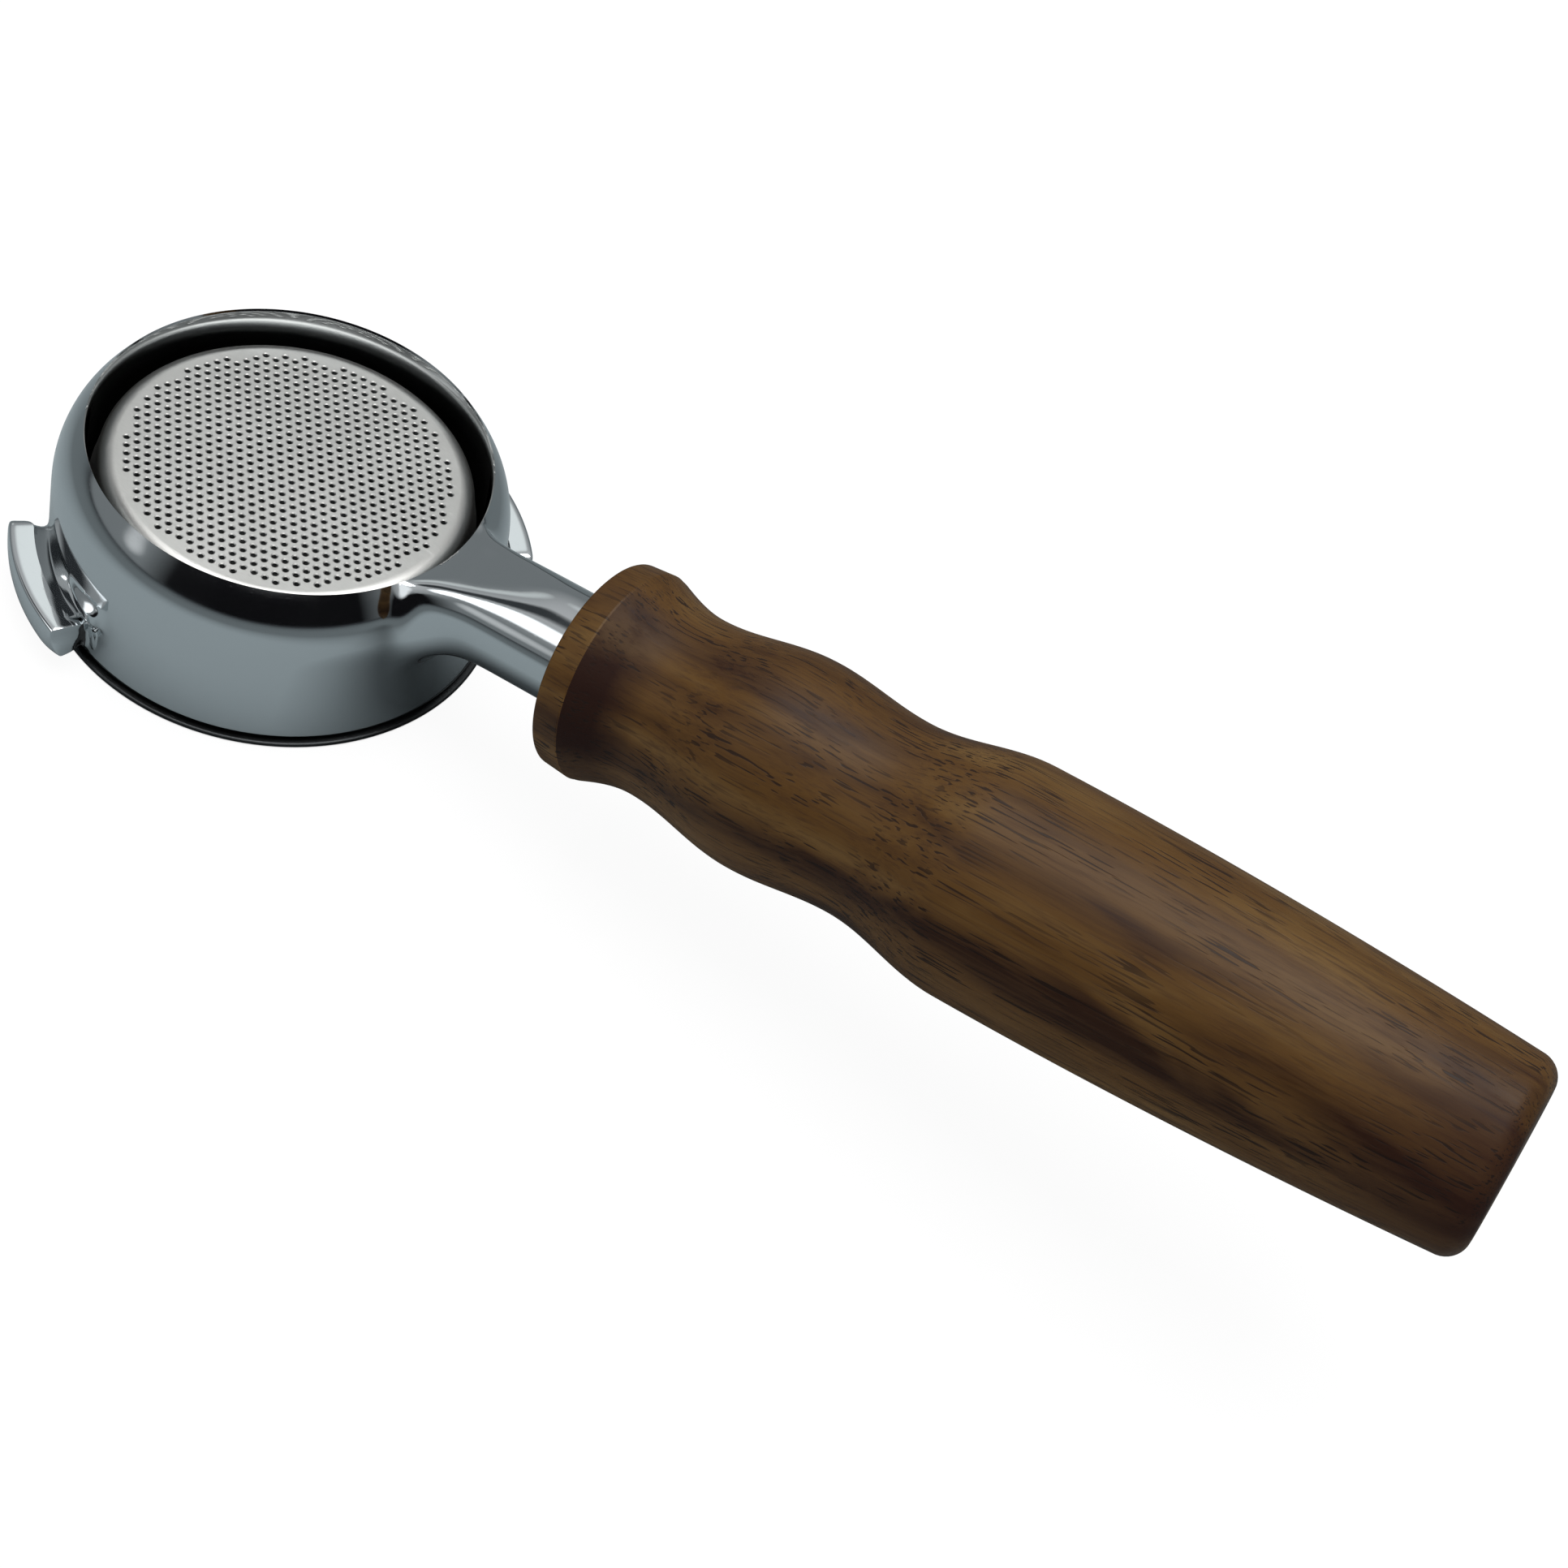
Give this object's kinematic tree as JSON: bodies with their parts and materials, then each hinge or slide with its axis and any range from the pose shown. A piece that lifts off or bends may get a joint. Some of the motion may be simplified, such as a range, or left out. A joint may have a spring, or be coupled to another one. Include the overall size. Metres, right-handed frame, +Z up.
{
  "type": "portafilter",
  "caption": "Bottomless 58 mm portafilter with chromed ring, two bayonet ears, perforated filter basket and turned walnut handle, lying upside down on the basket's flange",
  "frame": {"origin": "on the ring's axis, at the surface that the upside-down portafilter stands on, which is the sealing face of the basket's flange", "axes": "+Z up along the ring's axis, towards the bottomless side of the ring; +X is the horizontal direction in which the handle leaves the ring; +Y completes a right-handed frame"},
  "size_m": [0.237, 0.0794, 0.0675],
  "materials": {
    "chrome": "polished chrome plating on brass",
    "basket_steel": "satin drawn stainless steel",
    "spring_steel": "drawn stainless spring wire",
    "walnut": "turned walnut, oiled to a satin finish",
    "zinc_steel": "zinc plated steel",
    "brass": "machined brass",
    "seal_rubber": "black moulded rubber"
  },
  "bodies": {
    "basket": {"filter_basket": "basket_steel"},
    "holder": {"holder_body": "chrome", "retaining_spring": "spring_steel", "handle_grip": "walnut", "handle_stud": "zinc_steel", "threaded_insert": "brass", "lock_washer": "zinc_steel", "seal_ring": "seal_rubber"}
  },
  "joints": [
    {"name": "holder_lift", "type": "slide", "parent": "basket", "child": "holder", "axis": [0, 0, 1], "range_m": [0, 0.03]}
  ]
}
